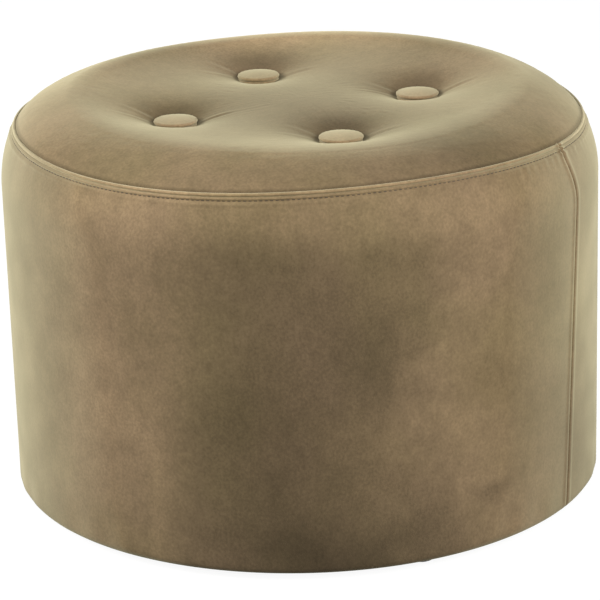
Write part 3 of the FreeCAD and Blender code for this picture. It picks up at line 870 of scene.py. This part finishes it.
def sideOutline():
    look = sideLook
    turn = look["bottomRound"]
    low = hemHeight + 0.0002
    points = [(look["hemInner"], low), (sideRadius - 0.02, low)]
    for index in range(7):
        angle = math.pi / 2 * index / 6
        across = sideRadius - turn + turn * math.sin(angle)
        points.append((across, low + turn - turn * math.cos(angle)))
    foldRound = look["foldRound"]
    foldMiddle = seamHeight + look["foldRise"] - foldRound
    bandLow = seamHeight - look["bandDrop"] - 0.006
    for start, end, pitch in (
        (low + turn, look["shoulderLow"], look["wallPitch"]),
        (look["shoulderLow"], bandLow, look["shoulderPitch"]),
        (bandLow, foldMiddle - foldRound, look["bandPitch"]),
    ):
        count = round((end - start) / pitch)
        for index in range(1, count + 1):
            height = start + (end - start) * index / count
            points.append((float(shoulderRadius(height)), height))
    # The folded edge is a small roll that stands proud of the wall under it
    middle = look["neckRadius"] - foldRound * 0.35
    for index in range(10):
        angle = math.radians(-55 + 235 * index / 9)
        points.append((middle + foldRound * math.cos(angle), foldMiddle + foldRound * math.sin(angle)))
    points.append((middle - foldRound, seamHeight - look["foldDepth"]))
    return points


def makeSidePanel(name, node, turnAngle, material):
    look = sideLook
    piece = spinProfile(name, sideOutline(), look["steps"], math.pi)
    points = readPoints(piece)
    angle = np.arctan2(points[:, 1], points[:, 0])
    if angle.mean() < 0:
        angle = -angle
    radius = np.hypot(points[:, 0], points[:, 1])
    # Columns are drawn close together towards the side seams
    share = np.clip(angle / np.pi, 0, 1)
    share = share - look["crowding"] * np.sin(2 * np.pi * share)
    angle = share * np.pi
    height = points[:, 2]
    outer = smoothStep(hemHeight, hemHeight + 0.008, height)
    tucked = height > seamHeight - look["foldDepth"] - 0.001
    inside = (radius < look["neckRadius"] - look["foldRound"]) & tucked
    outer = np.where(inside, 0, outer)
    reach = np.minimum(angle, np.pi - angle) * radius
    under = seamHeight - height
    inBand = outer * smoothStep(*look["foldClear"], under)
    radius -= look["grooveDepth"] * bell(under - look["bandDrop"], look["grooveWidth"]) * inBand
    radius -= look["neckDepth"] * bell(under - look["neckDrop"], look["neckWidth"]) * inBand
    belowStitches = under - look["bandDrop"]
    radius += look["bandPuff"] * bell(belowStitches + look["puffOver"], look["puffOverWidth"]) * inBand
    radius += look["bandPuff"] * bell(belowStitches - look["puffUnder"], look["puffUnderWidth"]) * inBand
    # Small puckers where the stitches draw the cloth in
    pucker = waves(angle + turnAngle, 11, look["puckerCounts"], look["pucker"])
    radius += pucker * bell(belowStitches - look["puckerDrop"], look["puckerReach"]) * inBand
    # The whole wall wanders a little, as padded cloth does
    wall = outer * smoothStep(0.0, look["swellFrom"], under)
    radius += waves(angle + turnAngle, 5, look["swellCounts"], look["swell"]) * wall
    # Side seam: a thin groove between two soft swells
    groove = look["seamGroove"] * bell(reach, look["seamWidth"])
    swell = look["seamPuff"] * bell(reach - look["seamBand"] * 0.45, look["seamBand"] * 0.35)
    radius += (swell - groove) * outer
    # A small double rib where the side seam meets the folded edge
    rib = bell(reach - look["ribReach"], look["ribWidth"]) * bell(under - 0.004, 0.0045)
    radius += look["ribRise"] * rib * (height > seamHeight - 0.02) * np.where(inside, 0, 1)
    # The hem draws the bottom of the wall into soft puckers
    low = np.clip(1 - (height - hemHeight) / look["hemReach"], 0, 1) * outer
    radius += waves(angle + turnAngle, 23, look["hemCounts"], look["hemPucker"]) * low
    rise = smoothStep(look["shoulderLow"] + 0.0003, seamHeight - 0.008, height)
    around = angle + turnAngle
    height = height + seamWander(around) * rise
    around = around + seamLean(height)
    writePoints(piece, np.stack([radius * np.cos(around), radius * np.sin(around), height], 1))
    alignFaces(piece)
    fixFacing(piece)
    applyModifier(piece, "SOLIDIFY", thickness=look["thickness"], offset=-1)
    shadeSmooth(piece, 60)
    paintWallLieAndLight(piece)
    finishPiece(piece, material, "velvet_side", node)


def fixFacing(piece):
    # An open wall has no inside, so its outer face is told by its place
    total = 0.0
    for face in piece.data.polygons:
        flat = Vector((face.center.x, face.center.y, 0))
        total += face.normal.dot(flat) * face.area
    if total < 0:
        alignFaces(piece, flip=True)


# Topstitching under the folded edge
stitchLook = dict(
    count=364,
    length=0.0029,
    thick=0.00095,
    sides=8,
    sink=0.0004,           # how far the ends dip
    proud=0.0006,          # how far the thread stands over the groove
)


def makeStitches(material):
    look = stitchLook
    radius = float(shoulderRadius(stitchHeight)) - sideLook["grooveDepth"] + look["proud"]
    deselectAll()
    bpy.ops.mesh.primitive_cylinder_add(
        vertices=look["sides"], radius=look["thick"] / 2, depth=look["length"],
        location=(radius, 0, stitchHeight), rotation=(math.pi / 2, 0, 0))
    piece = bpy.context.object
    piece.name = "topStitches"
    piece.data.name = "topStitches"
    bpy.ops.object.transform_apply(location=True, rotation=True, scale=True)
    bpy.ops.object.mode_set(mode="EDIT")
    bpy.ops.mesh.select_all(action="SELECT")
    bpy.ops.mesh.bevel(offset=look["thick"] * 0.3, segments=1)
    bpy.ops.object.mode_set(mode="OBJECT")
    points = readPoints(piece)
    along = np.abs(points[:, 1]) / (look["length"] / 2)
    points[:, 0] -= look["sink"] * 2 * along ** 2
    writePoints(piece, points)
    bpy.ops.object.empty_add(location=(0, 0, 0))
    pivot = bpy.context.object
    pivot.rotation_euler = (0, 0, 2 * math.pi / look["count"])
    bpy.context.view_layer.update()
    applyModifier(piece, "ARRAY", count=look["count"], use_relative_offset=False,
                  use_object_offset=True, offset_object=pivot)
    bpy.data.objects.remove(pivot)
    points = readPoints(piece)
    points[:, 2] += seamWander(np.arctan2(points[:, 1], points[:, 0]))
    writePoints(piece, points)
    shadeSmooth(piece, 60)
    finishPiece(piece, material, "sewing_thread", "top_stitching")


# Covered buttons
buttonLook = dict(
    radius=0.0199,
    dome=0.0024,
    rimRound=0.0019,
    neck=0.0196,
    skirt=0.0045,
    steps=64,
    gathers=22,
    gatherDepth=0.00025,
    gatherFrom=0.7,        # share of the radius from which the gathers show
    fill=0.9,
)


def makeButton(name, node, lift, material):
    look = buttonLook
    low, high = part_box(node)
    low.z += lift
    high.z += lift
    middle = (low + high) / 2
    radius = look["radius"]
    rim = look["rimRound"]
    edgeTop = high.z - look["dome"]
    outline = []
    bend = ((radius - rim) ** 2 + look["dome"] ** 2) / (2 * look["dome"])
    for index in range(9):
        across = (radius - rim) * index / 8
        outline.append((across, high.z - bend + math.sqrt(bend * bend - across * across)))
    for index in range(1, 8):
        angle = math.pi * index / 7
        outline.append((radius - rim + rim * math.sin(angle), edgeTop - rim + rim * math.cos(angle)))
    # The cloth runs on down behind the rim, into the seat
    outline.append((look["neck"] - 0.0006, edgeTop - 2 * rim - 0.0002))
    outline.append((look["neck"], edgeTop - 2 * rim - look["skirt"]))
    piece = spinProfile(name, outline, look["steps"])
    points = readPoints(piece)
    angle = np.arctan2(points[:, 1], points[:, 0])
    across = np.hypot(points[:, 0], points[:, 1])
    low = smoothStep(edgeTop - 0.001, edgeTop - 2 * rim, points[:, 2])
    gathered = (1 - low) * (across > radius * look["gatherFrom"])
    gather = look["gatherDepth"] * np.cos(look["gathers"] * angle) * gathered
    points[:, 0] += gather * np.cos(angle)
    points[:, 1] += gather * np.sin(angle)
    points[:, 0] += middle.x
    points[:, 1] += middle.y
    writePoints(piece, points)
    shadeSmooth(piece, 50)
    finishPiece(piece, material, "velvet_button", node)


# Dust cover: thin cloth drawn tight under the base
dustLook = dict(
    radius=0.261,
    ring=0.012,
    steps=120,
    thickness=0.0006,
    slack=0.0010,          # how far it hangs between its staples
    folds=5,
)


def makeDustCover(material):
    look = dustLook
    low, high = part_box("dust_cover")
    count = round(look["radius"] / look["ring"])
    outline = [(look["radius"] * index / count, high.z - 0.0001) for index in range(count + 1)]
    piece = spinProfile("dustCover", outline, look["steps"])
    points = readPoints(piece)
    angle = np.arctan2(points[:, 1], points[:, 0])
    share = np.hypot(points[:, 0], points[:, 1]) / look["radius"]
    sag = look["slack"] * (1 - share ** 2) * (0.6 + 0.4 * np.cos(look["folds"] * angle + 1))
    points[:, 2] -= sag * smoothStep(0, 0.2, share)
    writePoints(piece, points)
    applyModifier(piece, "SOLIDIFY", thickness=look["thickness"], offset=0)
    shadeSmooth(piece)
    finishPiece(piece, material, "dust_cloth", "dust_cover")


# Grain of thread, cloth, wood, foam and metal
def makeFineGrain():
    inputs = {"Scale": 100.0, "Detail": 5.0, "Relief": 0.2}
    outputs = {"Grain": "NodeSocketFloat", "Normal": "NodeSocketVector"}
    group, nodes, links, given, result = newGroup("fineGrain", inputs, outputs)
    place = nodes.new("ShaderNodeTexCoord")
    grain = noiseNode(nodes, links, place, given.outputs["Scale"], given.outputs["Detail"])
    links.new(grain, result.inputs["Grain"])
    links.new(bumpNode(nodes, links, grain, given.outputs["Relief"], 0.0004), result.inputs["Normal"])
    return group


fineGrain = makeFineGrain()


def grainMaterial(name, first, second, scale, roughness=0.6, metallic=0.0, relief=0.2, detail=5.0):
    material, nodes, links, shader = newMaterial(name)
    grain = placeGroup(nodes, fineGrain, Scale=scale, Detail=detail, Relief=relief)
    links.new(mixColor(nodes, links, grain.outputs["Grain"], first, second), shader.inputs["Base Color"])
    shader.inputs["Roughness"].default_value = roughness
    shader.inputs["Metallic"].default_value = metallic
    if relief > 0:
        links.new(grain.outputs["Normal"], shader.inputs["Normal"])
    return material


# Painted shade: the thread is darker than the velvet it is sewn into, standing in for the shadowed needle
# holes
threadHoleShadeFinish = dict(
    first=(0.045, 0.030, 0.017),
    second=(0.080, 0.057, 0.034),
    scale=1500.0,
    detail=2.0,
    relief=0.0,
)
dustFinish = dict(
    first=(0.010, 0.010, 0.011),
    second=(0.035, 0.035, 0.037),
    scale=220.0,
    roughness=0.95,
    relief=0.4,
)
# Painted light: the top is made lighter than the wall, and the buttons lighter still, each with its own
# share of painted sheen
velvetTop = velvetMaterial("velvetTop", lift=1.28, seed=0.0, paintedSheenShare=0.80, paintedSheenStart=0.40)
velvetSide = velvetMaterial("velvetSide", lift=1.0, seed=5.0, paintedSheenShare=0.85, paintedSheenStart=0.24)
velvetButton = velvetMaterial("velvetButton", lift=1.85, seed=9.0, paintedSheenShare=0.90, paintedSheenStart=0.12,
                              withLieAndLight=False)

makeTopPanel(velvetTop)
print("top panel done")
makeSidePanel("sidePanelBack", "side_cover_back", 0.0, velvetSide)
makeSidePanel("sidePanelFront", "side_cover_front", math.pi, velvetSide)
print("side panels done")
makeStitches(grainMaterial("sewingThread", **threadHoleShadeFinish))
for index, (node, lift) in enumerate(zip(buttonNodes, buttonLifts)):
    makeButton("buttonTop" + str(index + 1), node, lift, velvetButton)
makeDustCover(grainMaterial("dustCloth", **dustFinish))
print("stitches, buttons and dust cover done")


# Finishes of the parts inside, by their material slot
def finish(first, second, scale, roughness=0.6, relief=0.2, metallic=0.0):
    return dict(first=first, second=second, scale=float(scale), roughness=roughness,
                relief=relief, metallic=metallic)


def metal(first, second, scale, roughness):
    return finish(first, second, scale, roughness, relief=0.1, metallic=1.0)


hiddenVelvet = finish((0.165, 0.126, 0.070), (0.185, 0.14, 0.08), 100, roughness=0.9, relief=0.3)
blackPlastic = finish((0.012, 0.012, 0.013), (0.025, 0.025, 0.026), 300, roughness=0.45)
insideFinishes = {
    "plywood": finish((0.42, 0.28, 0.15), (0.55, 0.39, 0.22), 60, roughness=0.7, relief=0.3),
    "hardboard": finish((0.20, 0.12, 0.06), (0.27, 0.17, 0.09), 300, roughness=0.75, relief=0.3),
    "pine": finish((0.55, 0.38, 0.20), (0.66, 0.48, 0.27), 40, roughness=0.65, relief=0.3),
    "soft_foam": finish((0.72, 0.66, 0.48), (0.80, 0.74, 0.56), 500, roughness=0.9, relief=0.6),
    "firm_foam": finish((0.45, 0.55, 0.62), (0.55, 0.65, 0.72), 500, roughness=0.9, relief=0.6),
    "wadding": finish((0.75, 0.75, 0.73), (0.85, 0.85, 0.83), 200, roughness=0.95, relief=0.8),
    "zinc_screw": metal((0.45, 0.45, 0.42), (0.60, 0.58, 0.50), 400, roughness=0.35),
    "staple_wire": metal((0.50, 0.50, 0.50), (0.65, 0.65, 0.65), 500, roughness=0.35),
    "button_metal": metal((0.50, 0.50, 0.50), (0.62, 0.62, 0.62), 300, roughness=0.4),
    "anchor_plastic": finish((0.70, 0.70, 0.68), (0.78, 0.78, 0.76), 200, roughness=0.5, relief=0.1),
    "glide_plastic": blackPlastic,
    "twine": finish((0.60, 0.55, 0.42), (0.72, 0.67, 0.54), 900, roughness=0.8, relief=0.8),
    "velvet_top": hiddenVelvet,
    "velvet_side": hiddenVelvet,
    "velvet_button": hiddenVelvet,
    "sewing_thread": hiddenVelvet,
    "dust_cloth": blackPlastic,
}
nodeSlots = {part["node"]: part["material_slot"] for part in frame["record"]["subparts"]}
made = {}
for piece in [item for item in bpy.data.objects if "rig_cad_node" in item]:
    slot = nodeSlots[piece.name]
    if slot not in made:
        made[slot] = grainMaterial("inside_" + slot, **insideFinishes[slot])
    if not piece.material_slots:
        piece.data.materials.append(None)
    for place in piece.material_slots:
        place.material = made[slot]
